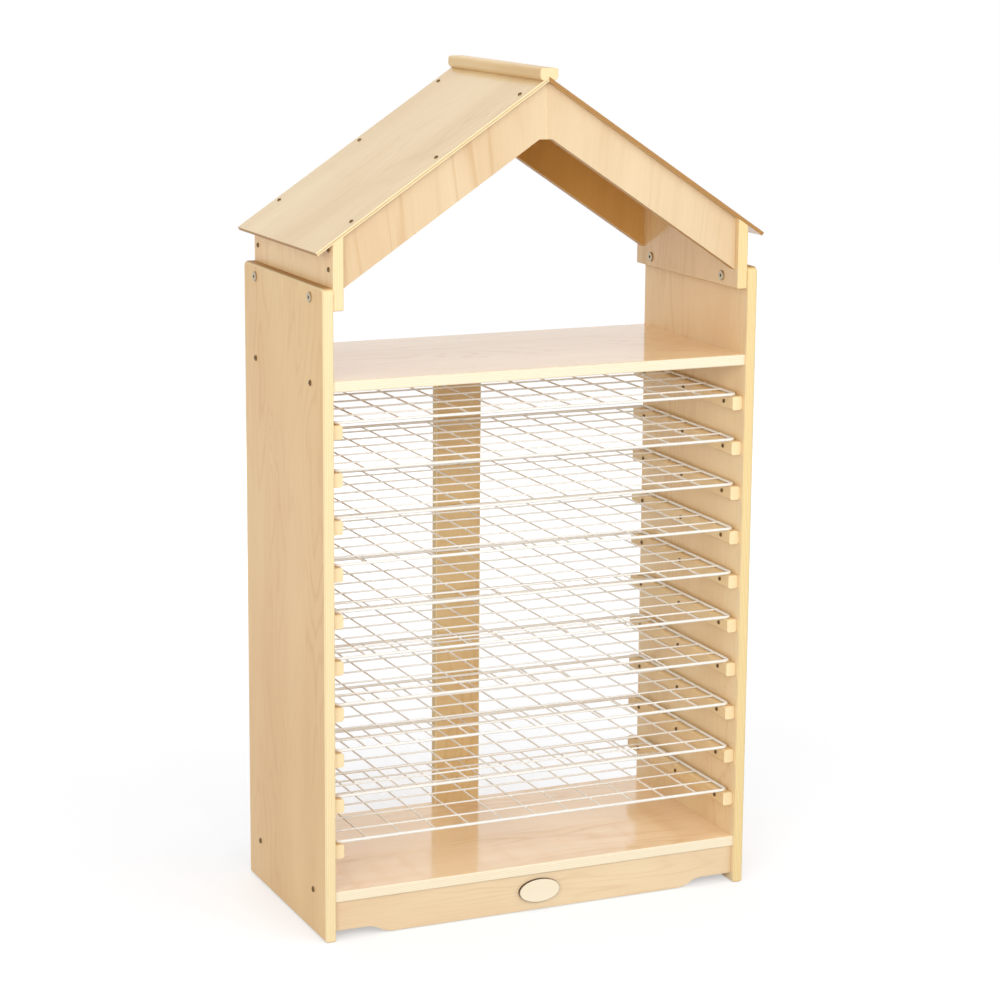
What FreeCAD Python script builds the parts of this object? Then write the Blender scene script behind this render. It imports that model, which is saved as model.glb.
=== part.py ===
import FreeCAD, Part
import math
import os

from FreeCAD import Vector

# Art drying rack. A plywood carcase stands on its two side panels and holds ten wire racks,
# one above the other, on pairs of wooden runners. Over the racks is an open display shelf
# under a small pitched roof.
#
# Millimetres. X runs to the right as seen from the front, Y to the back, Z up. The origin is
# on the floor, under the middle of the carcase.

# ---- Boards -----------------------------------------------------------------------------
BOARD = 18.0  # thickness of every carcase board
ROOF_SHEET = 6.0  # thickness of the two roof panels
WIDTH = 760.0  # over the outsides of the side panels
DEPTH = 375.0  # front edge to back edge of a side panel

# ---- Heights, each one standing on the one before ---------------------------------------
BOTTOM_SHELF_TOP = 82.0  # upper face of the bottom shelf above the floor
LOWEST_RUNNER_RISE = 66.0  # from there to the middle of the lowest runner
RACKS = 10
RACK_PITCH = 76.0  # from one runner to the next
HEADROOM = 64.0  # middle of the highest runner to the underside of the top shelf
DISPLAY_RISE = 146.0  # side panel above the upper face of the top shelf

# ---- Side panels ------------------------------------------------------------------------
TOP_CORNER = 10.0  # radius of a panel's two upper corners
FOOT_CORNER = 3.0  # radius of its two lower corners
OUTER_ROUND = 5.0  # round along the outer edges
INNER_ROUND = 3.0  # round along the inner edges

# ---- Shelves, toe board, plaque and back post -------------------------------------------
SHELF_SETBACK = 5.5  # shelf's front edge behind the panels' front edges
BOARD_ROUND = 2.5  # round along the free edges of the shelves and the small boards
TOE_SETBACK = 10.0  # front face of the toe board behind the panels' front edges
TOE_LIFT = 1.5  # the toe board clears the floor by this
TOE_END_RISE = 13.5  # its ends are cut this much higher
TOE_END_FLAT = 55.0  # length of the raised flat at each end
TOE_OGEE = 49.0  # length of the double curve that leads down from it
PLAQUE_WIDTH = 74.0
PLAQUE_HEIGHT = 40.0
PLAQUE_THICKNESS = 5.0
PLAQUE_LIFT = 2.5  # its middle above the middle of the toe board
POST_WIDTH = 85.0
POST_ROUND = 4.0

# ---- Runners and racks ------------------------------------------------------------------
RUNNER_WIDTH = 18.0
RUNNER_HEIGHT = 23.0
RUNNER_SETBACK = 10.0  # runner's front end behind the panels' front edges
RUNNER_ROUND = 4.0
FRAME_WIRE = 5.0  # diameter of the wire round the edge of a rack
INNER_WIRE = 3.0  # diameter of the wires inside it
WIRE_SPACING = 60.0
RACK_CORNER = 9.0  # radius of the frame wire at a corner, on the middle of the wire
RACK_SIDE_GAP = 5.5  # frame wire to side panel
RACK_SETBACK = 16.5  # front of the rack behind the panels' front edges
RACK_STOP_GAP = 1.5  # back of the rack to the back post
RACK_REST_GAP = 0.1  # round frame wire to the runner that it lies on

# ---- Roof -------------------------------------------------------------------------------
ROOF_PITCH = 8.0 / 12.0  # rise over run
END_BOARD_LAP = 36.5  # the end boards reach down inside the side panels by this
END_BOARD_HEIGHT = 103.5  # height of an end board on its outer face
END_BOARD_SETBACK = 2.7  # its front and back edges inside those of the panels
GABLE_WIDTH = 70.0  # across a gable board, square to the slope
GABLE_SETBACK = 13.0  # gable face inside the panels' edges, front and back
GABLE_PEAK_FLAT = 22.0  # flat cut under the peak of the two gable boards
ROOF_SETBACK = 2.0  # front and back edges of the roof inside those of the panels
EAVE_OVERHANG = 10.5  # eave outside the side panels
RIDGE_WIDTH = 31.5
RIDGE_HEIGHT = 20.0
RIDGE_SINK = 6.5  # underside of the ridge cap below the peak of the roof
RIDGE_TOP_ROUND = 5.0
RIDGE_BOTTOM_ROUND = 8.0

# ---- Fasteners --------------------------------------------------------------------------
HEAD_THICKNESS = 2.0  # pan heads of the wood screws
SCREW_SKIN = 6.0  # wood left uncut in front of a screw's point
RUNNER_SCREW_HEAD = 7.0
RUNNER_SCREW_SHANK = 4.0
RUNNER_SCREWS = 3
RUNNER_SCREW_FRONT = 30.0  # first screw behind the front end of the runner
RUNNER_SCREW_BACK = 43.0  # last screw before its back end
SHELF_SCREW_HEAD = 10.0
SHELF_SCREW_SHANK = 5.0
SHELF_SCREW_LENGTH = 50.0
SIDE_FASTENER_INSET = 58.0  # fasteners of a side panel from its front and back edges
ROOF_SCREW_HEAD = 7.0
ROOF_SCREW_SHANK = 4.0
ROOF_SCREW_LENGTH = 35.0
ROOF_SCREWS = 3  # in each gable board
ROOF_SCREW_TOP = 50.0  # first screw down the slope from the peak
ROOF_SCREW_FOOT = 23.5  # last screw up the slope from the end board
END_SCREW_HEAD = 8.0
END_SCREW_SHANK = 4.5
END_SCREW_LENGTH = 45.0
END_SCREW_RISE = 31.5  # lower screw above the tip of the gable board
END_SCREW_DROP = 10.1  # upper screw below the roof, on the outer face of the end board
CONNECTOR_HEAD = 17.0  # flat heads of the connector bolts and of their nuts
CONNECTOR_HEAD_THICKNESS = 2.5
CONNECTOR_SHANK = 6.0
CONNECTOR_SLEEVE = 9.0  # sleeve of a connector nut
SLEEVE_DEPTH = 12.0  # length of that sleeve in the end board
SLEEVE_FLOOR = 4.0  # nut head's face to the end of the bolt
BOLT_RISE = 16.5  # roof bolt above the lower edge of the end board
HOLE_CLEARANCE = 0.6  # holes are wider than what passes through them
POST_BOLT_RISE = 40.0  # barrel nut above the bottom shelf
POST_BOLT_END = 8.0  # the bolt ends this far past the middle of its barrel nut
BARREL_NUT = 12.0
BARREL_NUT_LENGTH = 14.0
DOWEL = 8.0
DOWEL_LENGTH = 30.0
DOWEL_SPACING = 32.0

# ---- How finely the small round pieces are cut --------------------------------------------
WIRE_SIDES = 6
SCREW_SIDES = 6
BOLT_SIDES = 8
RACK_CORNER_CUTS = 2

# ---- Worked out from the above ----------------------------------------------------------
X_AXIS = Vector(1, 0, 0)
Y_AXIS = Vector(0, 1, 0)
Z_AXIS = Vector(0, 0, 1)
TOUCH = 1e-4  # two places closer than this are the same
ROUND_TO_FLAT = 2 - math.sqrt(2)  # a flat this many radii long touches the round in its middle

FRONT = -DEPTH / 2
BACK = DEPTH / 2
OUTSIDE = WIDTH / 2
INSIDE = OUTSIDE - BOARD
RUNNER_HEIGHTS = [BOTTOM_SHELF_TOP + LOWEST_RUNNER_RISE + RACK_PITCH * n for n in range(RACKS)][::-1]
TOP_SHELF_TOP = RUNNER_HEIGHTS[0] + HEADROOM + BOARD
SIDE_HEIGHT = TOP_SHELF_TOP + DISPLAY_RISE
POST_FRONT = BACK - BOARD
POST_MIDDLE = BACK - BOARD / 2
RACK_HALF = INSIDE - RACK_SIDE_GAP - FRAME_WIRE / 2
RACK_FRONT = FRONT + RACK_SETBACK + FRAME_WIRE / 2
RACK_BACK = POST_FRONT - RACK_STOP_GAP - FRAME_WIRE / 2
END_BOTTOM = SIDE_HEIGHT - END_BOARD_LAP
END_INSIDE = INSIDE - BOARD
EAVE = OUTSIDE + EAVE_OVERHANG
SLANT = math.hypot(1, ROOF_PITCH)  # length of slope per unit of run
PEAK = END_BOTTOM + END_BOARD_HEIGHT + INSIDE * ROOF_PITCH  # roof panels' undersides meet here
ROOF_TOP_PEAK = PEAK + ROOF_SHEET * SLANT
GABLE_MIDDLES = (FRONT + GABLE_SETBACK + BOARD / 2, BACK - GABLE_SETBACK - BOARD / 2)
FASTENER_DEPTHS = (FRONT + SIDE_FASTENER_INSET, BACK - SIDE_FASTENER_INSET)
SIDES = {"left": -1, "right": 1}


def roof_underside(x):
    """Height of the roof panels' undersides at a distance x from the middle."""
    return PEAK - abs(x) * ROOF_PITCH


def block(x0, x1, y0, y1, z0, z1):
    return Part.makeBox(x1 - x0, y1 - y0, z1 - z0, Vector(x0, y0, z0))


def on_side(shape, side):
    """A shape made on the right, or its mirror image on the left."""
    return shape if side > 0 else shape.mirror(Vector(0, 0, 0), X_AXIS)


def cut_out(points, y0, y1):
    """A board cut to an outline of (x, z) points, between two depths."""
    outline = Part.makePolygon([Vector(x, y0, z) for x, z in points + points[:1]])
    return Part.Face(outline).extrude(Vector(0, y1 - y0, 0))


def ends_apart(edge, axis):
    """How far apart the ends of an edge are, measured along an axis."""
    return abs((edge.Vertexes[-1].Point - edge.Vertexes[0].Point).dot(axis))


def along(axis):
    """Picks the straight edges parallel to an axis."""
    return lambda edge: abs(ends_apart(edge, axis) - edge.Length) < TOUCH


def within(axis, place):
    """Picks the edges that lie whole in the plane square to an axis at a place."""
    return lambda edge: all(abs(vertex.Point.dot(axis) - place) < TOUCH for vertex in edge.Vertexes)


def eased(solid, radius, *picks):
    """Takes off the edges that every pick chooses, with a flat that touches a round of this radius."""
    edges = [edge for edge in solid.Edges if all(pick(edge) for pick in picks)]
    return solid.makeChamfer(radius * ROUND_TO_FLAT, edges)


def ring_points(centre, direction, diameter, sides):
    """Corners of a regular outline with the area of a round section, one flat facing up or back."""
    across = Z_AXIS if abs(direction.dot(Z_AXIS)) < 0.5 else Y_AXIS
    other = direction.cross(across)
    reach = diameter / 2 * math.sqrt(2 * math.pi / (sides * math.sin(2 * math.pi / sides)))
    turns = [2 * math.pi * (n + 0.5) / sides for n in range(sides)]
    return [centre + across * (reach * math.cos(t)) + other * (reach * math.sin(t)) for t in turns]


def bar(start, direction, diameter, length, sides):
    """A straight round bar, cut with so many flats."""
    points = ring_points(start, direction, diameter, sides)
    return Part.Face(Part.makePolygon(points + points[:1])).extrude(direction * length)


def spike(start, direction, diameter, length, sides):
    """A round bar that tapers to a point."""
    points = ring_points(start, direction, diameter, sides)
    tip = start + direction * length
    loops = [points] + [[points[n - 1], points[n], tip] for n in range(sides)]
    faces = [Part.Face(Part.makePolygon(loop + loop[:1])) for loop in loops]
    return Part.Solid(Part.Shell(faces))


def wood_screw(seat, inward, head, shank, length):
    """A pan-head screw. Its head lies on the wood at seat, and its shank runs inward."""
    cap = bar(seat, inward * -1, head, HEAD_THICKNESS, SCREW_SIDES)
    return cap.fuse(spike(seat, inward, shank, length, SCREW_SIDES))


def connector_bolt(seat, inward, length):
    """A flat-headed furniture bolt."""
    head = bar(seat, inward * -1, CONNECTOR_HEAD, CONNECTOR_HEAD_THICKNESS, BOLT_SIDES)
    return head.fuse(bar(seat, inward, CONNECTOR_SHANK, length, BOLT_SIDES))


def hole(start, direction, diameter, length):
    """The hole that something of this diameter passes through."""
    return bar(start, direction, diameter + HOLE_CLEARANCE, length, BOLT_SIDES)


def roof_bolt_places(x):
    """Where the four connector bolts of the roof cross the plane at x, on the right."""
    return [Vector(x, y, END_BOTTOM + BOLT_RISE) for y in FASTENER_DEPTHS]


def side_panel(side):
    panel = block(INSIDE, OUTSIDE, FRONT, BACK, 0, SIDE_HEIGHT)
    upper = [edge for edge in panel.Edges if along(X_AXIS)(edge) and within(Z_AXIS, SIDE_HEIGHT)(edge)]
    panel = panel.makeFillet(TOP_CORNER, upper)
    panel = eased(panel, FOOT_CORNER, along(X_AXIS), within(Z_AXIS, 0))
    panel = eased(panel, OUTER_ROUND, within(X_AXIS, OUTSIDE))
    panel = eased(panel, INNER_ROUND, within(X_AXIS, INSIDE))
    for place in roof_bolt_places(INSIDE):
        panel = panel.cut(hole(place, X_AXIS, CONNECTOR_SHANK, BOARD))
    return on_side(panel, side)


def shelf(top):
    """A shelf between the side panels, flush with them at the back."""
    board = block(-INSIDE, INSIDE, FRONT + SHELF_SETBACK, BACK, top - BOARD, top)
    return eased(board, BOARD_ROUND, along(X_AXIS))


def bottom_shelf():
    bolt_hole = hole(Vector(0, POST_MIDDLE, BOTTOM_SHELF_TOP - BOARD), Z_AXIS, CONNECTOR_SHANK, BOARD)
    return shelf(BOTTOM_SHELF_TOP).cut(bolt_hole)


def ogee(x0, z0, x1, z1, y):
    """Two equal arcs that lead level from one height to another."""
    run = x1 - x0
    rise = z1 - z0
    radius = (run**2 + rise**2) / (4 * abs(rise))
    turn = math.asin(abs(run) / (2 * radius)) / 2
    inset = math.copysign(radius * math.sin(turn), run)
    drop = math.copysign(radius * (1 - math.cos(turn)), rise)
    start = Vector(x0, y, z0)
    middle = Vector((x0 + x1) / 2, y, (z0 + z1) / 2)
    end = Vector(x1, y, z1)
    first = Part.Arc(start, start + Vector(inset, 0, drop), middle)
    second = Part.Arc(middle, end - Vector(inset, 0, drop), end)
    return [first.toShape(), second.toShape()]


def toe_board():
    """Closes the space under the bottom shelf. Its ends are cut up into two small feet."""
    y = FRONT + TOE_SETBACK
    top = BOTTOM_SHELF_TOP - BOARD
    raised = TOE_LIFT + TOE_END_RISE
    foot = INSIDE - TOE_END_FLAT
    low = foot - TOE_OGEE
    corners = [(-foot, raised), (-INSIDE, raised), (-INSIDE, top)]
    corners += [(INSIDE, top), (INSIDE, raised), (foot, raised)]
    edges = Part.makePolygon([Vector(x, y, z) for x, z in corners]).Edges
    edges += ogee(foot, raised, low, TOE_LIFT, y)
    edges += [Part.makeLine(Vector(low, y, TOE_LIFT), Vector(-low, y, TOE_LIFT))]
    edges += ogee(-low, TOE_LIFT, -foot, raised, y)
    return Part.Face(Part.Wire(edges)).extrude(Vector(0, BOARD, 0))


def front_plaque():
    """A plain oval plaque on the middle of the toe board."""
    y = FRONT + TOE_SETBACK
    middle = (TOE_LIFT + BOTTOM_SHELF_TOP - BOARD) / 2 + PLAQUE_LIFT
    oval = Part.Ellipse(Vector(0, 0, 0), PLAQUE_WIDTH / 2, PLAQUE_HEIGHT / 2).toShape()
    plaque = Part.Face(Part.Wire(oval)).extrude(Vector(0, 0, PLAQUE_THICKNESS))
    plaque.rotate(Vector(0, 0, 0), X_AXIS, 90)
    plaque.translate(Vector(0, y, middle))
    return plaque


def back_post():
    """The board up the middle of the back. The racks stop against it."""
    top = TOP_SHELF_TOP - BOARD
    post = block(-POST_WIDTH / 2, POST_WIDTH / 2, POST_FRONT, BACK, BOTTOM_SHELF_TOP, top)
    post = eased(post, POST_ROUND, along(Z_AXIS))
    nut = Vector(0, POST_FRONT, BOTTOM_SHELF_TOP + POST_BOLT_RISE)
    post = post.cut(hole(nut, Y_AXIS, BARREL_NUT, BARREL_NUT_LENGTH))
    bolt_end = Vector(0, POST_MIDDLE, BOTTOM_SHELF_TOP)
    return post.cut(hole(bolt_end, Z_AXIS, CONNECTOR_SHANK, POST_BOLT_RISE + POST_BOLT_END))


def runner(side, height):
    half = RUNNER_HEIGHT / 2
    strip = block(INSIDE - RUNNER_WIDTH, INSIDE, FRONT + RUNNER_SETBACK, BACK, height - half, height + half)
    return on_side(eased(strip, RUNNER_ROUND, along(Y_AXIS)), side)


def spread(half_length):
    """Places of the inner wires, either side of the middle, that keep half a space to the frame wire."""
    count = int((half_length - WIRE_SPACING / 2) / WIRE_SPACING)
    return [WIRE_SPACING * n for n in range(-count, count + 1)]


def rack_frame_path():
    """The frame wire's way round the rack, from the middle of its front side."""
    corners = [(1, RACK_FRONT, 1), (1, RACK_BACK, -1), (-1, RACK_BACK, -1), (-1, RACK_FRONT, 1)]
    start = Vector(0, RACK_FRONT, 0)
    points = [start]
    for turned, (across, y, inward) in enumerate(corners):
        centre = Vector(across * (RACK_HALF - RACK_CORNER), y + inward * RACK_CORNER, 0)
        for n in range(RACK_CORNER_CUTS + 1):
            angle = (turned - 1 + n / RACK_CORNER_CUTS) * math.pi / 2
            points.append(centre + Vector(math.cos(angle), math.sin(angle), 0) * RACK_CORNER)
    return Part.makePolygon(points + [start])


def wire_rack():
    """One welded rack, its frame wire's middle at height 0. The wires that run to the back lie lowest."""
    start = Vector(0, RACK_FRONT, 0)
    outline = ring_points(start, X_AXIS, FRAME_WIRE, WIRE_SIDES)
    section = Part.makePolygon(outline + outline[:1])
    frame = rack_frame_path().makePipeShell([section], True, False, 1)
    layer = INNER_WIRE / 2
    length = RACK_BACK - RACK_FRONT
    middle = (RACK_BACK + RACK_FRONT) / 2
    wires = []
    for x in spread(RACK_HALF):
        wires.append(bar(Vector(x, RACK_FRONT, -layer), Y_AXIS, INNER_WIRE, length, WIRE_SIDES))
    for y in spread(length / 2):
        start = Vector(-RACK_HALF, middle + y, layer)
        wires.append(bar(start, X_AXIS, INNER_WIRE, 2 * RACK_HALF, WIRE_SIDES))
    return frame.multiFuse(wires).removeSplitter()


def end_board(side):
    """Carries one side of the roof. It is bolted inside the side panel and bevelled to the slope."""
    slope_in = roof_underside(END_INSIDE)
    slope_out = roof_underside(INSIDE)
    points = [(END_INSIDE, END_BOTTOM), (INSIDE, END_BOTTOM), (INSIDE, slope_out), (END_INSIDE, slope_in)]
    board = cut_out(points, FRONT + END_BOARD_SETBACK, BACK - END_BOARD_SETBACK)
    board = eased(board, BOARD_ROUND, along(Z_AXIS))
    board = eased(board, BOARD_ROUND, within(Z_AXIS, END_BOTTOM))
    for place in roof_bolt_places(END_INSIDE):
        board = board.cut(hole(place, X_AXIS, CONNECTOR_SLEEVE, BOARD))
    return on_side(board, side)


def gable_board(side, middle):
    """Half a gable. Two of them meet in an upright joint under the peak."""
    drop = GABLE_WIDTH * SLANT
    flat = GABLE_PEAK_FLAT / 2
    lower_flat = roof_underside(flat) - drop
    end = roof_underside(END_INSIDE)
    points = [(0, PEAK), (END_INSIDE, end), (END_INSIDE, end - drop), (flat, lower_flat), (0, lower_flat)]
    return on_side(cut_out(points, middle - BOARD / 2, middle + BOARD / 2), side)


def roof_panel(side):
    """A thin panel from the peak to the eave, mitred at the peak and cut square at the eave."""
    eave_top = ROOF_TOP_PEAK - EAVE * ROOF_PITCH
    cut_run = ROOF_SHEET * ROOF_PITCH / SLANT
    cut_drop = ROOF_SHEET / SLANT
    points = [(0, PEAK), (0, ROOF_TOP_PEAK), (EAVE, eave_top), (EAVE - cut_run, eave_top - cut_drop)]
    return on_side(cut_out(points, FRONT + ROOF_SETBACK, BACK - ROOF_SETBACK), side)


def ridge_cap():
    """A rounded bar with a groove along its underside that fits over the peak."""
    base = ROOF_TOP_PEAK - RIDGE_SINK
    half = RIDGE_WIDTH / 2
    y0 = FRONT + ROOF_SETBACK
    y1 = BACK - ROOF_SETBACK
    cap = block(-half, half, y0, y1, base, base + RIDGE_HEIGHT)
    for height, radius in ((base + RIDGE_HEIGHT, RIDGE_TOP_ROUND), (base, RIDGE_BOTTOM_ROUND)):
        edges = [edge for edge in cap.Edges if along(Y_AXIS)(edge) and within(Z_AXIS, height)(edge)]
        cap = cap.makeFillet(radius, edges)
    foot = ROOF_TOP_PEAK - half * ROOF_PITCH
    return cap.cut(cut_out([(0, ROOF_TOP_PEAK), (half, foot), (-half, foot)], y0, y1))


def runner_screws(side):
    """The screws that hold one side's runners to the side panel."""
    first = FRONT + RUNNER_SETBACK + RUNNER_SCREW_FRONT
    step = (BACK - RUNNER_SCREW_BACK - first) / (RUNNER_SCREWS - 1)
    length = RUNNER_WIDTH + BOARD - SCREW_SKIN
    screws = []
    for height in RUNNER_HEIGHTS:
        for n in range(RUNNER_SCREWS):
            seat = Vector(INSIDE - RUNNER_WIDTH, first + step * n, height)
            screws.append(wood_screw(seat, X_AXIS, RUNNER_SCREW_HEAD, RUNNER_SCREW_SHANK, length))
    return [on_side(screw, side) for screw in screws]


def shelf_screws():
    """Two screws through each side panel into the end of each shelf."""
    screws = []
    for side in SIDES.values():
        for top in (TOP_SHELF_TOP, BOTTOM_SHELF_TOP):
            for y in FASTENER_DEPTHS:
                seat = Vector(OUTSIDE, y, top - BOARD / 2)
                screw = wood_screw(seat, X_AXIS * -1, SHELF_SCREW_HEAD, SHELF_SCREW_SHANK, SHELF_SCREW_LENGTH)
                screws.append(on_side(screw, side))
    return screws


def roof_screws():
    """Screws down through the roof panels into the top edges of the gable boards."""
    square_in = Vector(-ROOF_PITCH, 0, -1) * (1 / SLANT)
    step = (END_INSIDE * SLANT - ROOF_SCREW_FOOT - ROOF_SCREW_TOP) / (ROOF_SCREWS - 1)
    screws = []
    for side in SIDES.values():
        for y in GABLE_MIDDLES:
            for n in range(ROOF_SCREWS):
                run = (ROOF_SCREW_TOP + step * n) / SLANT
                seat = Vector(run, y, ROOF_TOP_PEAK - run * ROOF_PITCH)
                screw = wood_screw(seat, square_in, ROOF_SCREW_HEAD, ROOF_SCREW_SHANK, ROOF_SCREW_LENGTH)
                screws.append(on_side(screw, side))
    return screws


def gable_screws():
    """Two screws through the end board into the end of each gable board."""
    tip = roof_underside(END_INSIDE) - GABLE_WIDTH * SLANT
    screws = []
    for side in SIDES.values():
        for y in GABLE_MIDDLES:
            for z in (tip + END_SCREW_RISE, roof_underside(INSIDE) - END_SCREW_DROP):
                seat = Vector(INSIDE, y, z)
                screw = wood_screw(seat, X_AXIS * -1, END_SCREW_HEAD, END_SCREW_SHANK, END_SCREW_LENGTH)
                screws.append(on_side(screw, side))
    return screws


def roof_bolts():
    """The bolts that hold the roof's end boards in the side panels."""
    length = OUTSIDE - END_INSIDE - SLEEVE_FLOOR
    bolts = [connector_bolt(place, X_AXIS * -1, length) for place in roof_bolt_places(OUTSIDE)]
    return [on_side(bolt, side) for side in SIDES.values() for bolt in bolts]


def roof_bolt_nuts():
    """The sleeve nuts that those bolts are turned into, from inside."""
    nuts = []
    for place in roof_bolt_places(END_INSIDE):
        head = bar(place, X_AXIS * -1, CONNECTOR_HEAD, CONNECTOR_HEAD_THICKNESS, BOLT_SIDES)
        nuts.append(head.fuse(bar(place, X_AXIS, CONNECTOR_SLEEVE, SLEEVE_DEPTH, BOLT_SIDES)))
    return [on_side(nut, side) for side in SIDES.values() for nut in nuts]


def post_bolt():
    """The bolt up through the bottom shelf into the back post."""
    seat = Vector(0, POST_MIDDLE, BOTTOM_SHELF_TOP - BOARD)
    return connector_bolt(seat, Z_AXIS, BOARD + POST_BOLT_RISE + POST_BOLT_END)


def post_barrel_nut():
    """The cross nut in the front of the back post that takes that bolt."""
    start = Vector(0, POST_FRONT, BOTTOM_SHELF_TOP + POST_BOLT_RISE)
    return bar(start, Y_AXIS, BARREL_NUT, BARREL_NUT_LENGTH, BOLT_SIDES)


def dowel(middle, direction):
    return bar(middle - direction * (DOWEL_LENGTH / 2), direction, DOWEL, DOWEL_LENGTH, BOLT_SIDES)


def post_dowels():
    """Two dowels hold the top of the back post under the top shelf."""
    places = (-DOWEL_SPACING / 2, DOWEL_SPACING / 2)
    return [dowel(Vector(x, POST_MIDDLE, TOP_SHELF_TOP - BOARD), Z_AXIS) for x in places]


def toe_board_dowels():
    """Dowels hang the toe board under the bottom shelf."""
    y = FRONT + TOE_SETBACK + BOARD / 2
    reach = INSIDE / 2
    places = (-reach, -DOWEL_SPACING, DOWEL_SPACING, reach)
    return [dowel(Vector(x, y, BOTTOM_SHELF_TOP - BOARD), Z_AXIS) for x in places]


def gable_dowels():
    """Dowels hold the two halves of each gable together under the peak."""
    middle = PEAK - GABLE_WIDTH * SLANT / 2
    heights = (middle - DOWEL_SPACING / 2, middle + DOWEL_SPACING / 2)
    return [dowel(Vector(0, y, z), X_AXIS) for y in GABLE_MIDDLES for z in heights]


def save(name, *solids):
    """Writes one sub-part, which may be a group of like solids."""
    shape = solids[0] if len(solids) == 1 else Part.makeCompound(list(solids))
    shape.exportStep(os.path.join("parts", name + ".step"))


os.makedirs("parts", exist_ok=True)

save("top_shelf", shelf(TOP_SHELF_TOP))
save("bottom_shelf", bottom_shelf())
save("toe_board", toe_board())
save("front_plaque", front_plaque())
save("back_post", back_post())
save("ridge_cap", ridge_cap())

for name, side in SIDES.items():
    save("side_panel_" + name, side_panel(side))
    save("end_board_" + name, end_board(side))
    save("roof_panel_" + name, roof_panel(side))
    save("gable_front_" + name, gable_board(side, GABLE_MIDDLES[0]))
    save("gable_back_" + name, gable_board(side, GABLE_MIDDLES[1]))
    save("runner_screws_" + name, *runner_screws(side))
    for number, height in enumerate(RUNNER_HEIGHTS, start=1):
        save(f"runner_{name}_{number:02d}", runner(side, height))

rack = wire_rack()
for number, height in enumerate(RUNNER_HEIGHTS, start=1):
    lift = height + RUNNER_HEIGHT / 2 + RACK_REST_GAP + FRAME_WIRE / 2
    save(f"wire_rack_{number:02d}", rack.translated(Vector(0, 0, lift)))

save("shelf_screws", *shelf_screws())
save("roof_screws", *roof_screws())
save("gable_screws", *gable_screws())
save("roof_bolts", *roof_bolts())
save("roof_bolt_nuts", *roof_bolt_nuts())
save("post_bolt", post_bolt())
save("post_barrel_nut", post_barrel_nut())
save("post_dowels", *post_dowels())
save("toe_board_dowels", *toe_board_dowels())
save("gable_dowels", *gable_dowels())
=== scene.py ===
# %% [markdown]
# # An art drying rack, dressed for the studio
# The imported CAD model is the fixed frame. It says where every board, wire and screw is, and this
# lesson puts rounded boards, plywood, coated wire and plated steel around it. The CAD could be
# painted as it is, but its cut flats would show at every edge, so each visible piece gets a mesh of
# its own at the same place and size, and takes over from its CAD node.

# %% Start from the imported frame
import math

import bmesh
import bpy
from mathutils import Matrix, Vector


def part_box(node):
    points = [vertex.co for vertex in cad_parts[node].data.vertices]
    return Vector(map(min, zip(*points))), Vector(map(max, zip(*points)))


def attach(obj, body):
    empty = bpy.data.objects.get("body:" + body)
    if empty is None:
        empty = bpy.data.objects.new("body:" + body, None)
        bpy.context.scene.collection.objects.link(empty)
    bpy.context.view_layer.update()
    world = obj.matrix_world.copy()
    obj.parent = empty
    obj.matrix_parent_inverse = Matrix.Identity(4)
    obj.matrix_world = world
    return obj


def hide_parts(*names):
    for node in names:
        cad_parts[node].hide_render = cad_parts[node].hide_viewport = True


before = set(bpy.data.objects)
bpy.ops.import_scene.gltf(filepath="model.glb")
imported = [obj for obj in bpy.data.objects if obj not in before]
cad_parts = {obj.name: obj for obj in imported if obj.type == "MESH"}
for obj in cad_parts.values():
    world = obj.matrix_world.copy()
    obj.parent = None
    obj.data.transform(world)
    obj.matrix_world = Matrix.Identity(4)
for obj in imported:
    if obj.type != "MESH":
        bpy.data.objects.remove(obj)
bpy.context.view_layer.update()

MM = 0.001

# %% [markdown]
# ## Sizes of the real boards
# The boards are measured off the frame with `span`, in millimetres, so that they can't drift away
# from it. Only what a box can't say, such as the radius of an edge, is written here as a number.

# %% Sizes
BOARD = 18.0
ROOF_SHEET = 6.0
ROOF_PITCH = 8.0 / 12.0  # rise over run
SLANT = math.hypot(1, ROOF_PITCH)
GABLE_WIDTH = 70.0
GABLE_PEAK_FLAT = 22.0
OUTER_ROUND = 5.0  # a side panel's outer edges
INNER_ROUND = 3.0  # and its inner ones
TOP_CORNER = 10.0
FOOT_CORNER = 3.0
BOARD_ROUND = 2.5  # shelves and end boards
POST_ROUND = 4.0
RUNNER_ROUND = 4.0
SAW_EASE = 0.8  # what a sanding block leaves on an edge that was only sawn
LEAST_ROUND = 0.01
ARC_STEPS = 6  # straight bits in a quarter round


def span(node):
    """Lowest and highest x, y and z of a CAD node, in millimetres."""
    low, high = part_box(node)
    return [(low[n] / MM, high[n] / MM) for n in range(3)]


(_, outside), (front, back), (_, side_height) = span("side_panel_right")
inside = outside - BOARD
print("carcase: outside", outside, "front", front, "back", back, "height", side_height)

# %% [markdown]
# ## One small function for shader nodes
# Every material below is a short chain of shader nodes. `add_node` makes one, sets its options, and
# fills or links its inputs, so that each material reads as a list of what it is made of.

# %% Nodes and colours


def to_linear(hex_colour):
    """An sRGB colour such as "#F0D2A4" as the linear numbers that a shader takes."""
    values = [int(hex_colour[n : n + 2], 16) / 255 for n in (1, 3, 5)]
    return [v / 12.92 if v <= 0.04045 else ((v + 0.055) / 1.055) ** 2.4 for v in values] + [1.0]


def add_node(tree, kind, inputs=(), output=0, **settings):
    """Adds a node and returns one of its outputs.

    inputs is a tuple in socket order, or a dict by socket name or number. A value is a number, a
    vector, a hex colour or another node's output.
    """
    node = tree.nodes.new("ShaderNode" + kind)
    for name, value in settings.items():
        setattr(node, name, value)
    for name, value in inputs.items() if isinstance(inputs, dict) else enumerate(inputs):
        if isinstance(value, bpy.types.NodeSocket):
            tree.links.new(value, node.inputs[name])
        else:
            node.inputs[name].default_value = to_linear(value) if isinstance(value, str) else value
    return node.outputs[output]


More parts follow.
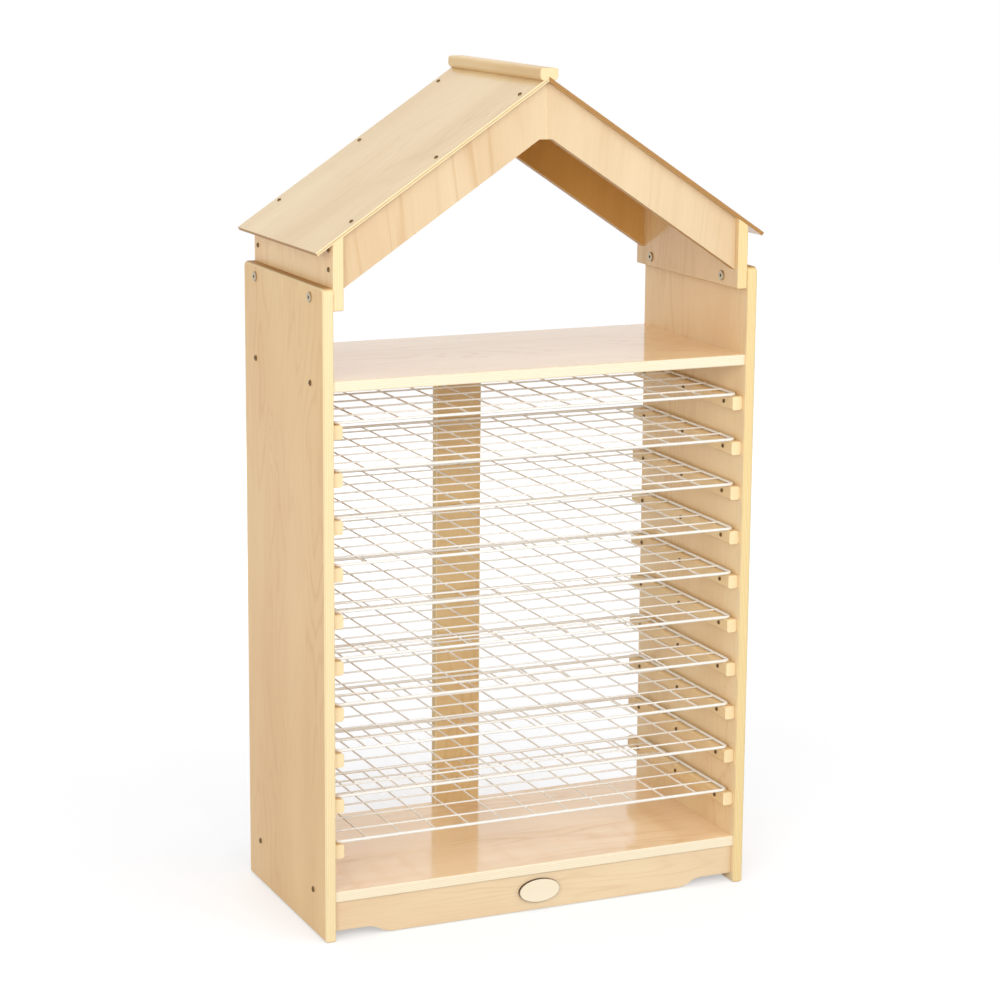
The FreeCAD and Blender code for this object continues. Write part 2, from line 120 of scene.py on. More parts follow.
def new_material(name, **values):
    """An empty material, its node tree and its main shader. values are for its sockets."""
    material = bpy.data.materials.new(name)
    material.use_nodes = True
    tree = material.node_tree
    shader = next(node for node in tree.nodes if node.type == "BSDF_PRINCIPLED")
    for socket, value in values.items():
        shader.inputs[socket.replace("_", " ")].default_value = value
    return material, tree, shader


print("linear #808080:", [round(v, 4) for v in to_linear("#808080")])

# %% [markdown]
# ## Birch plywood
# The boards are 18 mm birch plywood: thirteen rotary-cut veneers of 1.4 mm, each laid across the
# last, sanded and sealed with clear satin lacquer. The face shows a pale ground with soft,
# wandering growth lines, and every edge shows the veneers as a stack of fine stripes, light where
# the fibres run along the edge and browner where they are cut across. A picture wrapped round a
# board wouldn't meet at its edges. So the wood here is solid: at each point in space the shader
# works out how deep in the board it lies, which veneer that is, and which way its fibres run.

# %% Where a point lies in its board
def board_space(tree, grain, through, middle):
    """Each point's place along the grain, across it and into the board, and how it faces each."""
    grain = Vector(grain).normalized()
    through = Vector(through).normalized()
    across = through.cross(grain)
    point = add_node(tree, "TexCoord", output="Object")
    normal = add_node(tree, "NewGeometry", output="Normal")
    moved = add_node(tree, "VectorMath", (point, Vector(middle) * MM), operation="SUBTRACT")
    places = []
    facings = []
    for way in (grain, across, through):
        places.append(add_node(tree, "VectorMath", (moved, way), "Value", operation="DOT_PRODUCT"))
        facing = add_node(tree, "VectorMath", (normal, way), "Value", operation="DOT_PRODUCT")
        facings.append(add_node(tree, "Math", (facing,), operation="ABSOLUTE"))
    return places, facings


# %% Sheets of plywood
# No two sheets have quite the same tone: (ground, growth lines) of each face
PLAIN = ("#EED5A6", "#D6AF79")
TANNED = ("#F6DEB2", "#E0B884")
PALE = ("#EAD3AD", "#D5B084")
SANDY = ("#E3CCA6", "#CFAA7E")
WARM = ("#F2CD93", "#DDA96B")
LIGHT = ("#FBDDAA", "#E9BC82")
FAIR = ("#FEDFAC", "#E6B678")
BLOND = ("#FCE0B8", "#E3B786")
HONEY = ("#E4C793", "#CFA76D")
SHADE_UNDER_ROOF = ("#D9AE66", "#C08E48")  # painted shade: darker tones for a side that faces into the roof

# %% The figure of birch
HILLS = 2.2  # to a metre along the grain
SQUEEZE = 4.2  # how much closer they lie across it
NEXT_VENEER = 1.7  # how far the hills move on from one veneer to the next
GROWTH_LINES = 95.0  # level lines up a hill: they come out 5 to 15 mm apart
LINE_SHARPNESS = 5.0  # makes the lines narrower than the pale bands between them
FIBRE_WIDTH = 0.9  # mm; real fibres are too fine to show in the render, so these are coarse
FIBRE_ENDS = 14.0  # to a metre
LINES_DARKEN = 0.34
FIBRES_DARKEN = 0.22
DRIFT_DARKENS = 0.42
NOISE_RANGE = {"From Min": 0.3, "From Max": 0.7}  # Blender's noise seldom goes beyond it


def figure_of_birch(tree, u, v, layer, seed, amount, wander=0.9):
    """How dark the wood is, 0 to 1, from its growth lines, its fibres and slow changes of tone.

    A low wander makes the growth lines straighter.
    """
    here = add_node(tree, "CombineXYZ", (u, v, layer))

    # Growth lines are the level lines of a smooth stretched hill, as on veneer peeled off a log
    moves = ((wander, SQUEEZE, NEXT_VENEER), (0, 0, seed))
    at = add_node(tree, "VectorMath", (here, *moves), operation="MULTIPLY_ADD")
    smooth = {"Scale": HILLS, "Detail": 2.5, "Roughness": 0.42, "Distortion": 0.25}
    hill = add_node(tree, "TexNoise", {"Vector": at, **smooth})
    wave = add_node(tree, "Math", (hill, GROWTH_LINES), operation="MULTIPLY")
    wave = add_node(tree, "Math", (wave,), operation="SINE")
    wave = add_node(tree, "Math", (wave, 0.5, 0.5), operation="MULTIPLY_ADD")
    lines = add_node(tree, "Math", (wave, LINE_SHARPNESS), operation="POWER")

    # Over most of a birch veneer the lines fade
    moves = ((1, 2.4, 0), (0, 0, seed + 7.3))
    at = add_node(tree, "VectorMath", (here, *moves), operation="MULTIPLY_ADD")
    calm = add_node(tree, "TexNoise", {"Vector": at, "Scale": 3.1, "Detail": 1.0})
    fade = {"From Min": 0.40, "From Max": 0.66, "To Max": LINES_DARKEN * amount}
    shown = add_node(tree, "MapRange", {"Value": calm, **fade})
    lines = add_node(tree, "Math", (lines, shown), operation="MULTIPLY")

    # Fibres are fine streaks along the grain
    moves = ((FIBRE_ENDS, 1 / (FIBRE_WIDTH * MM), 0), (0, 0, seed))
    at = add_node(tree, "VectorMath", (here, *moves), operation="MULTIPLY_ADD")
    fibre = add_node(tree, "TexNoise", {"Vector": at, "Scale": 1.0, "Detail": 2.0})
    fade = {"From Min": 0.35, "From Max": 0.75, "To Max": FIBRES_DARKEN}
    streaks = add_node(tree, "MapRange", {"Value": fibre, **fade})

    # The tone drifts over the sheet
    moves = ((1, 3, 0), (0, 0, seed + 21.0))
    at = add_node(tree, "VectorMath", (here, *moves), operation="MULTIPLY_ADD")
    cloud = add_node(tree, "TexNoise", {"Vector": at, "Scale": 2.4, "Detail": 2.0})
    drift = add_node(tree, "MapRange", {"Value": cloud, **NOISE_RANGE, "To Max": DRIFT_DARKENS})
    face = add_node(tree, "Math", (lines, drift), operation="ADD")
    return add_node(tree, "Math", (face, streaks), operation="ADD"), streaks


# %% The plywood material
EDGES = ("#F2E0B6", "#E9CF9C")  # veneers cut along their fibres, and across them
YELLOW_EDGES = ("#EDD7A4", "#E3C68A")
GLUE_LINE = "#C29A62"
GLUE_SHOWS = 0.22
SAWN_END = "#A87840"  # across the grain the lacquer soaks in and browns the wood
SAWN_END_SHOWS = 0.85
END_ON = {"From Min": 0.6, "From Max": 0.95}  # how squarely the fibres must meet the surface
FACE_ON = {"From Min": 0.90, "From Max": 0.98}
LACQUER_IOR = 1.5
LACQUER_ROUGHNESS = 0.14
LACQUER_SHEEN = 0.5
EDGE_ROUGHNESS = 0.6  # cut fibres stand up in the lacquer, so an edge is nearly matt
RUBBED_ROUGHNESS = 0.32
RUBBED_SHEEN = 0.25


def plywood(
    name, grain, through, middle, seed, tones=PLAIN, edges=EDGES, figure=1.0,
    thickness=BOARD, veneers=13, rubbed=False, hidden=None, wander=0.9,
):
    """Birch plywood. grain and through are directions, and middle is a point (mm) halfway through.

    rubbed is for lacquer rubbed down to a low sheen. The side that faces the way given after it is
     painted in darker tones, as painted shade inside the roof.
    """
    sheen = RUBBED_SHEEN if rubbed else LACQUER_SHEEN
    material, tree, shader = new_material(name, Specular_IOR_Level=sheen, IOR=LACQUER_IOR)
    (u, v, depth), (to_grain, to_across, to_face) = board_space(tree, grain, through, middle)
    per_metre = veneers / (thickness * MM)
    count = add_node(tree, "Math", (depth, per_metre, veneers / 2), operation="MULTIPLY_ADD")
    layer = add_node(tree, "Math", (count,), operation="FLOOR")
    layer = add_node(tree, "Clamp", (layer, 0.0, veneers - 1.0))
    crossed = add_node(tree, "Math", (layer, 2.0), operation="MODULO")
    dark, streaks = figure_of_birch(tree, u, v, layer, seed, figure, wander)
    face = add_node(tree, "Mix", {0: dark, 6: tones[0], 7: tones[1]}, 2, data_type="RGBA")
    # Painted shade: the side that faces the given way gets the darker tones of the shade inside the
    # roof
    if hidden:
        away = Vector(hidden).normalized()
        normal = add_node(tree, "NewGeometry", output="Normal")
        turned = add_node(tree, "VectorMath", (normal, away), "Value", operation="DOT_PRODUCT")
        ground, lines = SHADE_UNDER_ROOF
        low = add_node(tree, "Mix", {0: dark, 6: ground, 7: lines}, 2, data_type="RGBA")
        face = add_node(tree, "Mix", {0: turned, 6: face, 7: low}, 2, data_type="RGBA")

    ended = add_node(tree, "Mix", {0: crossed, 2: to_grain, 3: to_across})
    brown = add_node(tree, "Math", (ended, streaks), operation="ADD", use_clamp=True)
    edge = add_node(tree, "Mix", {0: brown, 6: edges[0], 7: edges[1]}, 2, data_type="RGBA")
    sawn = add_node(tree, "MapRange", {"Value": to_grain, **END_ON, "To Max": SAWN_END_SHOWS})
    edge = add_node(tree, "Mix", {0: sawn, 6: edge, 7: SAWN_END}, 2, data_type="RGBA")
    glue = add_node(tree, "Math", (count, 1.0), operation="PINGPONG")
    thin = {"From Min": 0.0, "From Max": 0.1, "To Min": GLUE_SHOWS, "To Max": 0.0}
    glue = add_node(tree, "MapRange", {"Value": glue, **thin})
    edge = add_node(tree, "Mix", {0: glue, 6: edge, 7: GLUE_LINE}, 2, data_type="RGBA")

    is_face = add_node(tree, "MapRange", {"Value": to_face, **FACE_ON})
    colour = add_node(tree, "Mix", {0: is_face, 6: edge, 7: face}, 2, data_type="RGBA")
    tree.links.new(colour, shader.inputs["Base Color"])
    face_roughness = RUBBED_ROUGHNESS if rubbed else LACQUER_ROUGHNESS
    roughness = add_node(tree, "Mix", {0: is_face, 2: EDGE_ROUGHNESS, 3: face_roughness})
    tree.links.new(roughness, shader.inputs["Roughness"])
    return material


print("veneers of", round(BOARD / 13, 2), "mm")

# %% [markdown]
# ## Solid birch
# The runners and the ridge cap are solid birch, planed, rounded and rubbed to a low sheen. Solid
# wood has no veneers: its long sides show the same fibres and growth lines as a face, and its two
# sawn ends, where the fibres point at the eye, are sanded and look paler and plainer.

# %% The solid birch material
RUNNER_BIRCH = ("#EFD3A0", "#DDB57C")
RIDGE_BIRCH = ("#EED29E", "#CFA468")
END_GRAIN = "#F4E2B8"
END_GRAIN_SHOWS = 0.6
SOLID_FIGURE = 0.7


def solid_birch(name, grain, through, middle, seed, tones):
    """Solid birch with its fibres along grain."""
    finish = {"Roughness": RUBBED_ROUGHNESS, "Specular_IOR_Level": RUBBED_SHEEN, "IOR": LACQUER_IOR}
    material, tree, shader = new_material(name, **finish)
    (u, v, depth), (to_grain, _, _) = board_space(tree, grain, through, middle)
    round_the_bar = add_node(tree, "Math", (depth, 1.3, v), operation="MULTIPLY_ADD")
    dark, _ = figure_of_birch(tree, u, round_the_bar, 0.0, seed, SOLID_FIGURE)
    side = add_node(tree, "Mix", {0: dark, 6: tones[0], 7: tones[1]}, 2, data_type="RGBA")
    is_end = add_node(tree, "MapRange", {"Value": to_grain, **END_ON, "To Max": END_GRAIN_SHOWS})
    colour = add_node(tree, "Mix", {0: is_end, 6: side, 7: END_GRAIN}, 2, data_type="RGBA")
    tree.links.new(colour, shader.inputs["Base Color"])
    return material


print("solid birch ready")

# %% [markdown]
# ## From an outline to a rounded board
# A board is a flat outline given thickness. Blender's Bevel modifier can round a box, but trips
# over a side panel, where three different radii meet. So the board is built in rings: the outline
# is repeated at each step through the thickness, and shrinks along a quarter circle near the two
# faces. That gives true rounds of the radius that a router bit leaves.

# %% Outlines


def full_turn(steps):
    """Angles evenly spaced round a circle, in radians."""
    return [2 * math.pi * n / steps for n in range(steps)]


def arc(centre, radius, angles):
    """Points on a circle, at angles in radians."""
    return [(centre[0] + radius * math.cos(a), centre[1] + radius * math.sin(a)) for a in angles]


def corner_arc(centre, radius, first_angle):
    """Points on a quarter circle, from an angle in degrees onwards."""
    angles = [math.radians(first_angle + 90 * n / ARC_STEPS) for n in range(ARC_STEPS + 1)]
    return arc(centre, radius, angles)


def rectangle(a0, a1, b0, b1, radii):
    """A rectangle outline as a function of how far it is shrunk.

    radii are those of the right top, left top, left bottom and right bottom corners.
    """

    def shrunk(inset):
        points = []
        a_corners = ((a1, -1), (a0, 1), (a0, 1), (a1, -1))  # each place, and the way inwards
        b_corners = ((b1, -1), (b1, -1), (b0, 1), (b0, 1))
        for n, ((a, a_in), (b, b_in), radius) in enumerate(zip(a_corners, b_corners, radii)):
            keep = max(radius, inset + LEAST_ROUND)
            points += corner_arc((a + a_in * keep, b + b_in * keep), keep - inset, 90 * n)
        return points

    return shrunk


def polygon(points):
    """Any outline, counter-clockwise, as a function of how far it is shrunk."""
    count = len(points)

    def shrunk(inset):
        moved = []
        for n, (a, b) in enumerate(points):
            before, after = points[n - 1], points[(n + 1) % count]
            edges = (Vector((a - before[0], b - before[1])), Vector((after[0] - a, after[1] - b)))
            one, two = (Vector((-edge.y, edge.x)).normalized() for edge in edges)
            way = (one + two) / (1 + one.dot(two))
            moved.append((a + way.x * inset, b + way.y * inset))
        return moved

    return shrunk


print("a quarter round has", ARC_STEPS + 1, "points")

# %% Rings and boards
PLACE_ON_AXIS = {
    "X": lambda a, b, place: (place, a, b),
    "Y": lambda a, b, place: (a, place, b),
    "Z": lambda a, b, place: (a, b, place),
}


def rings_through(outline, start, end, round_start, round_end):
    """(place, outline) pairs from one face of a board to the other."""

    def eased(face, way, radius):
        turns = [math.pi / 2 * n / ARC_STEPS for n in range(ARC_STEPS + 1 if radius else 1)]
        insets = [radius * (1 - math.sin(turn)) for turn in turns]
        places = [face + way * radius * (1 - math.cos(turn)) for turn in turns]
        return [(place, outline(inset)) for place, inset in zip(places, insets)]

    return eased(start, 1, round_start) + eased(end, -1, round_end)[::-1]


def skin(rings, count):
    """Faces round a stack of rings with count points each, and over its two ends."""
    faces = [tuple(range(count))[::-1], tuple(range((rings - 1) * count, rings * count))]
    for r in range(rings - 1):
        for n in range(count):
            m = (n + 1) % count
            faces.append((r * count + n, r * count + m, (r + 1) * count + m, (r + 1) * count + n))
    return faces


def board_mesh(axis, outline, start, end, round_start=0.0, round_end=0.0, reshape=None):
    """Vertices (mm) and faces of a board. reshape may move each vertex, for a bevelled end."""
    rings = rings_through(outline, start, end, round_start, round_end)
    vertices = [PLACE_ON_AXIS[axis](a, b, place) for place, points in rings for a, b in points]
    if reshape:
        vertices = [reshape(*vertex) for vertex in vertices]
    return vertices, skin(len(rings), len(rings[0][1]))


def on_side(sign, shape):
    """A shape made for the right, or its mirror image for the left (sign -1)."""
    vertices, faces = shape
    left = [(-x, y, z) for x, y, z in vertices], [face[::-1] for face in faces]
    return shape if sign > 0 else left


def make_piece(node, shape, material, body="carcase", sharp_angle=32):
    """A finished mesh object that stands for a CAD node. shape is its vertices (mm) and faces."""
    vertices, faces = shape
    mesh = bpy.data.meshes.new(node)
    mesh.from_pydata([[c * MM for c in vertex] for vertex in vertices], [], faces)
    work = bmesh.new()
    work.from_mesh(mesh)
    bmesh.ops.remove_doubles(work, verts=work.verts, dist=1e-7)
    bmesh.ops.recalc_face_normals(work, faces=work.faces)
    work.to_mesh(mesh)
    work.free()
    mesh.polygons.foreach_set("use_smooth", [True] * len(mesh.polygons))
    mesh.set_sharp_from_angle(angle=math.radians(sharp_angle))
    mesh.materials.append(material)
    piece = bpy.data.objects.new("dressed_" + node, mesh)
    bpy.context.scene.collection.objects.link(piece)
    even = piece.modifiers.new("flat_faces_stay_flat", "WEIGHTED_NORMAL")
    even.keep_sharp = True
    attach(piece, body)
    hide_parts(node)


print("outline and board helpers ready")

# %% [markdown]
# ## The two side panels
# Each side panel stands on the floor on its own lower edge. Its outer edges are rounded more than
# its inner ones, so the front edge looks like a thumb rather than a bar. The grain stands upright,
# and the lacquer is rubbed down to a low sheen.

# %% Side panels
UP = (0, 0, 1)
SIDEWAYS = (1, 0, 0)
DEEP = (0, 1, 0)
SIDE_FIGURE = 0.8
SIDES = (("left", -1, 3.1, WARM, EDGES), ("right", 1, 9.4, TANNED, YELLOW_EDGES))

panel_radii = (TOP_CORNER, TOP_CORNER, FOOT_CORNER, FOOT_CORNER)
panel_outline = rectangle(front, back, 0, side_height, panel_radii)
panel = board_mesh("X", panel_outline, inside, outside, INNER_ROUND, OUTER_ROUND)
for side, sign, seed, tones, edges in SIDES:
    name = "birch_plywood_side_" + side
    middle = (sign * (inside + outside) / 2, 0, 0)
    wood = plywood(name, UP, SIDEWAYS, middle, seed, tones, edges, SIDE_FIGURE, rubbed=True)
    make_piece("side_panel_" + side, on_side(sign, panel), wood)
print("side panels:", round(side_height), "mm high")

# %% [markdown]
# ## Shelves and back post
# The shelves fit between the panels, so only their long edges are rounded. Their grain runs from
# side to side, the way a shelf is strongest. Their tops get the wear, so they are lacquered a
# second time, which a clear coat over the wood stands for. The post at the back is the same board
# on end.

# %% Shelves and post
PALE_EDGES = ("#F2E7CD", "#ECDBB9")
SHELF_FIGURE = 1.2
SECOND_COAT = 0.5
for node, seed, tones in (("top_shelf", 14.2, FAIR), ("bottom_shelf", 31.7, BLOND)):
    (x0, x1), (y0, y1), (z0, z1) = span(node)
    outline = rectangle(y0, y1, z0, z1, (BOARD_ROUND,) * 4)
    middle = (0, 0, (z0 + z1) / 2)
    name = "birch_plywood_" + node
    wood = plywood(name, SIDEWAYS, UP, middle, seed, tones, PALE_EDGES, SHELF_FIGURE)
    shader = wood.node_tree.nodes["Principled BSDF"]
    shader.inputs["Coat Weight"].default_value = SECOND_COAT
    shader.inputs["Coat Roughness"].default_value = LACQUER_ROUGHNESS / 2
    make_piece(node, board_mesh("X", outline, x0, x1), wood)

(x0, x1), (y0, y1), (z0, z1) = span("back_post")
post_outline = rectangle(x0, x1, y0, y1, (POST_ROUND,) * 4)
wood = plywood("birch_plywood_post", UP, DEEP, (0, (y0 + y1) / 2, 0), 5.5, HONEY)
make_piece("back_post", board_mesh("Z", post_outline, z0, z1), wood)
print("post:", round(x1 - x0), "mm wide")

# %% [markdown]
# ## Toe board
# It closes the gap under the bottom shelf. Each end is cut up in a double curve, so that the rack
# seems to stand on two small feet. The curve is two equal arcs that meet halfway.

# %% Toe board
TOE_END_FLAT = 55.0
TOE_OGEE = 49.0
TOE_END_RISE = 13.5
OGEE_STEPS = 8
TOE_FIGURE = 1.2


def ogee(run, rise):
    """Points of a double curve from (0, 0) to (run, rise), level at both ends."""
    radius = (run**2 + rise**2) / (4 * rise)
    half_turn = math.asin(run / 2 / radius)
    turns = [half_turn * n / OGEE_STEPS for n in range(OGEE_STEPS + 1)]
    first = [(radius * math.sin(t), radius * (1 - math.cos(t))) for t in turns]
    second = [(run - a, rise - b) for a, b in first[::-1]]
    return first + second[1:]


(x0, x1), (y0, y1), (z0, z1) = span("toe_board")
ogee_start = x1 - TOE_END_FLAT - TOE_OGEE
right_foot = [(ogee_start + a, z0 + b) for a, b in ogee(TOE_OGEE, TOE_END_RISE)]
left_foot = [(-a, b) for a, b in right_foot[::-1]]
toe_top = [(x1, z0 + TOE_END_RISE), (x1, z1), (x0, z1), (x0, z0 + TOE_END_RISE)]
toe_points = left_foot + right_foot + toe_top
middle = (0, (y0 + y1) / 2, 0)
wood = plywood("birch_plywood_toe_board", SIDEWAYS, DEEP, middle, 44.4, PALE, figure=TOE_FIGURE)
toe = board_mesh("Y", polygon(toe_points), y0, y1, SAW_EASE, SAW_EASE)
make_piece("toe_board", toe, wood)
print("toe board outline points:", len(toe_points))

# %% [markdown]
# ## The roof
# Two end boards are bolted inside the side panels. Two pairs of gable boards lean on them and meet
# in the middle, and thin plywood panels cover them. The top of each end board is bevelled to the
# slope, so its mesh is a plain upright board whose upper vertices are then pulled onto the slope.
# The sides of the gable boards and roof panels that face in are painted browner than the rest.
# That brown is painted shade, for the shade inside the roof.

# %% End boards
ENDS = (("left", -1, 17.0, LIGHT, EDGES), ("right", 1, 61.0, PLAIN, YELLOW_EDGES))
(end_inside, _), (y0, y1), (z0, _) = span("end_board_right")
peak = span("gable_front_right")[2][1]


def roof_underside(x):
    """Height of the underside of the roof panels, this far from the middle."""
    return peak - abs(x) * ROOF_PITCH


def onto_slope(x, y, z):
    """Pulls an end board's top face onto the underside of the roof, and leaves the rest."""
    return (x, y, roof_underside(x) if z > z0 + BOARD else z)


end_outline = rectangle(end_inside, inside, y0, y1, (BOARD_ROUND,) * 4)
end_top = roof_underside(inside)
end_board = board_mesh("Z", end_outline, z0, end_top, BOARD_ROUND, 0, reshape=onto_slope)
for side, sign, seed, tones, edges in ENDS:
    name = "birch_plywood_end_" + side
    middle = (sign * (end_inside + inside) / 2, 0, 0)
    wood = plywood(name, UP, SIDEWAYS, middle, seed, tones, edges, rubbed=sign < 0)
    make_piece("end_board_" + side, on_side(sign, end_board), wood)
print("peak of the roof's underside:", round(peak, 1), "mm")

# %% Gable boards
LEAN = 0.12  # the grain stands nearly upright and leans a little to each side
STRAIGHT = 0.2  # wander of the growth lines
GABLES = (("left", -1, 1.1), ("right", 1, 0.5))
gable_drop = GABLE_WIDTH * SLANT
flat = GABLE_PEAK_FLAT / 2
low_flat = roof_underside(flat) - gable_drop
end_height = roof_underside(end_inside)
gable_points = [(0, peak), (0, low_flat), (flat, low_flat)]
gable_points += [(end_inside, end_height - gable_drop), (end_inside, end_height)]
# The side of each gable board that faces into the roof is painted in shade tones
for place, tones, hidden in (("front", SANDY, (0, 1, 0)), ("back", PLAIN, (0, -1, 0))):
    y0, y1 = span("gable_" + place + "_right")[1]
    middle = (0, (y0 + y1) / 2, 0)
    gable = board_mesh("Y", polygon(gable_points), y0, y1, SAW_EASE, SAW_EASE)
    for side, sign, figure in GABLES:
        node = "gable_" + place + "_" + side
        name = "birch_plywood_" + node
        grain = (sign * LEAN, 0, 1)
        seed = len(node) * 3.7 + y0 * 0.01
        look = {"figure": figure, "hidden": hidden, "wander": STRAIGHT}
        wood = plywood(name, grain, DEEP, middle, seed, tones, **look)
        make_piece(node, on_side(sign, gable), wood)
print("gable boards:", GABLE_WIDTH, "mm across")

# %% Roof panels
SHEET_EASE = 0.7
SHEET_EDGES = ("#EFDDB4", "#CFB07C")  # only three veneers, so the thick core shows as a darker line
SHADED_SHEET_EDGES = ("#B79A6C", "#96784A")  # painted shade: the right roof panel's edges, darker than the left one's
DOWN_THE_LEFT = (-1, 0, -ROOF_PITCH)
SHEETS = (("left", -1, DOWN_THE_LEFT, 70.0, SHEET_EDGES), ("right", 1, DEEP, 83.0, SHADED_SHEET_EDGES))
THREE_VENEERS = {"figure": 0.6, "thickness": ROOF_SHEET, "veneers": 3}
(_, x1), (y0, y1), (_, sheet_top) = span("roof_panel_right")
cut_run = ROOF_SHEET * ROOF_PITCH / SLANT
cut_drop = ROOF_SHEET / SLANT
eave_top = sheet_top - x1 * ROOF_PITCH
sheet_points = [(0, sheet_top), (0, peak), (x1 - cut_run, eave_top - cut_drop), (x1, eave_top)]
sheet = board_mesh("Y", polygon(sheet_points), y0, y1, SHEET_EASE, SHEET_EASE)
middle = (0, 0, (peak + sheet_top) / 2)
for side, sign, grain, seed, edges in SHEETS:
    name = "thin_birch_plywood_" + side
    square = (sign * ROOF_PITCH, 0, 1)
    # The underside of each roof panel is painted in shade tones
    inwards = [-c for c in square]
    wood = plywood(name, grain, square, middle, seed, PLAIN, edges, hidden=inwards, **THREE_VENEERS)
    make_piece("roof_panel_" + side, on_side(sign, sheet), wood)
print("roof panels reach", round(x1, 1), "mm from the middle")

# %% [markdown]
# ## Ridge cap
# A solid birch bar with all four long edges rounded and a groove along its underside that fits over
# the peak. The outline is made once, groove and all, and drawn out along the ridge.

# %% Ridge cap
RIDGE_HEIGHT = 20.0
RIDGE_TOP_ROUND = 5.0
RIDGE_BOTTOM_ROUND = 8.0
(x0, x1), (y0, y1), (_, z1) = span("ridge_cap")
base = z1 - RIDGE_HEIGHT

# The lower round starts where it meets the slope of the groove
low_x, low_z = x1 - RIDGE_BOTTOM_ROUND, base + RIDGE_BOTTOM_ROUND
drop_to_slope = sheet_top - low_x * ROOF_PITCH - low_z
foot_turn = math.asin(drop_to_slope / SLANT / RIDGE_BOTTOM_ROUND) - math.atan(ROOF_PITCH)
turns = [foot_turn * (1 - n / ARC_STEPS) for n in range(ARC_STEPS + 1)]
right_half = arc((low_x, low_z), RIDGE_BOTTOM_ROUND, turns)
right_half += corner_arc((x1 - RIDGE_TOP_ROUND, z1 - RIDGE_TOP_ROUND), RIDGE_TOP_ROUND, 0)
cap_points = right_half + [(-a, b) for a, b in right_half[::-1]] + [(0, sheet_top)]
cap = board_mesh("Y", polygon(cap_points), y0, y1, SAW_EASE, SAW_EASE)
wood = solid_birch("solid_birch_ridge", DEEP, UP, (0, 0, base), 12.0, RIDGE_BIRCH)
make_piece("ridge_cap", cap, wood)
print("cap meets the roof", round(right_half[0][0], 1), "mm from the middle")

# %% [markdown]
# ## Runners
# Twenty square strips of solid birch with rounded long edges, screwed to the side panels. Their
# front ends show as small bright blocks, so the end is eased too, as a sander leaves it.

# %% Runners
for side, sign in (("left", -1), ("right", 1)):
    (x0, x1), _, _ = span(f"runner_{side}_01")
    middle = ((x0 + x1) / 2, 0, 0)
    wood = solid_birch("solid_birch_runner_" + side, DEEP, UP, middle, 2.0 + sign, RUNNER_BIRCH)
    for number in range(1, 11):
        node = f"runner_{side}_{number:02d}"
        (x0, x1), (y0, y1), (z0, z1) = span(node)
        outline = rectangle(x0, x1, z0, z1, (RUNNER_ROUND,) * 4)
        strip = board_mesh("Y", outline, y0, y1, SAW_EASE, SAW_EASE)
        make_piece(node, strip, wood)
print("runners are", round(z1 - z0), "mm high")

# %% [markdown]
# ## White coated wire
# A rack is a frame of 5 mm steel wire with 3 mm wires welded across it, sprayed with white powder
# and baked. The powder melts to a smooth, slightly soft gloss that fills the weld corners, and
# leaves faint ripples like orange peel. Each wire is a swept circle, and each crossing gets a small
# lump where the weld and the powder gather. `mottled` gives this and the plain materials after it a
# slight unevenness.

# %% The coated wire material
WIRE_WHITES = ("#F0EDE6", "#EAE6DE")  # the powder lies a little thicker here and thinner there
POWDER_ROUGHNESS = 0.22
POWDER_IOR = 1.5
ORANGE_PEEL = 0.03  # mm, the height of the ripples
RIPPLES = 500.0  # to a metre, so each is about 2 mm across


def mottled(tree, shader, colours, scale, bump_height=0.0, stretch=(1, 1, 1)):
    """Blends two colours in soft spots, scale of them to a metre, and may raise the spots (mm)."""
    point = add_node(tree, "TexCoord", output="Object")
    point = add_node(tree, "VectorMath", (point, stretch), operation="MULTIPLY")
    spots = add_node(tree, "TexNoise", {"Vector": point, "Scale": scale, "Detail": 2.0})
    share = add_node(tree, "MapRange", {"Value": spots, **NOISE_RANGE})
    colour = add_node(tree, "Mix", {0: share, 6: colours[0], 7: colours[1]}, 2, data_type="RGBA")
    tree.links.new(colour, shader.inputs["Base Color"])
    if bump_height:
        bump = add_node(tree, "Bump", {"Height": spots, "Distance": bump_height * MM})
        tree.links.new(bump, shader.inputs["Normal"])


look = {"Roughness": POWDER_ROUGHNESS, "IOR": POWDER_IOR}
wire_coat, tree, shader = new_material("white_coated_wire", **look)
mottled(tree, shader, WIRE_WHITES, RIPPLES, ORANGE_PEEL)
print("ripples of", 1000 / RIPPLES, "mm")

# %% Wires as swept circles
FRAME_WIRE = 5.0
INNER_WIRE = 3.0
WIRE_SPACING = 60.0
RACK_CORNER = 9.0
FRAME_SIDES = 14
INNER_SIDES = 10
LUMP_RINGS = 5
LUMP_SIDES = 10


def swept(path, radius, sides, closed=False):
    """A tube of vertices and faces along a flat path of (x, y, z) points in millimetres."""
    points = [Vector(p) for p in path]
    count = len(points)
    turns = full_turn(sides)
    vertices = []
    faces = []
    for n, point in enumerate(points):
        before = points[n - 1] if closed or n else point
        after = points[(n + 1) % count] if closed or n < count - 1 else point
        ahead = (after - before).normalized()
        level = ahead.cross(Vector(UP)).normalized()
        for turn in turns:
            rise = Vector(UP) * (radius * math.sin(turn))
            vertices.append(tuple(point + level * (radius * math.cos(turn)) + rise))
    for n in range(count if closed else count - 1):
        m = (n + 1) % count
        for s in range(sides):
            t = (s + 1) % sides
            faces.append((n * sides + s, n * sides + t, m * sides + t, m * sides + s))
    if not closed:
        faces.append(tuple(range(sides)))
        faces.append(tuple(range((count - 1) * sides, count * sides))[::-1])
    return vertices, faces


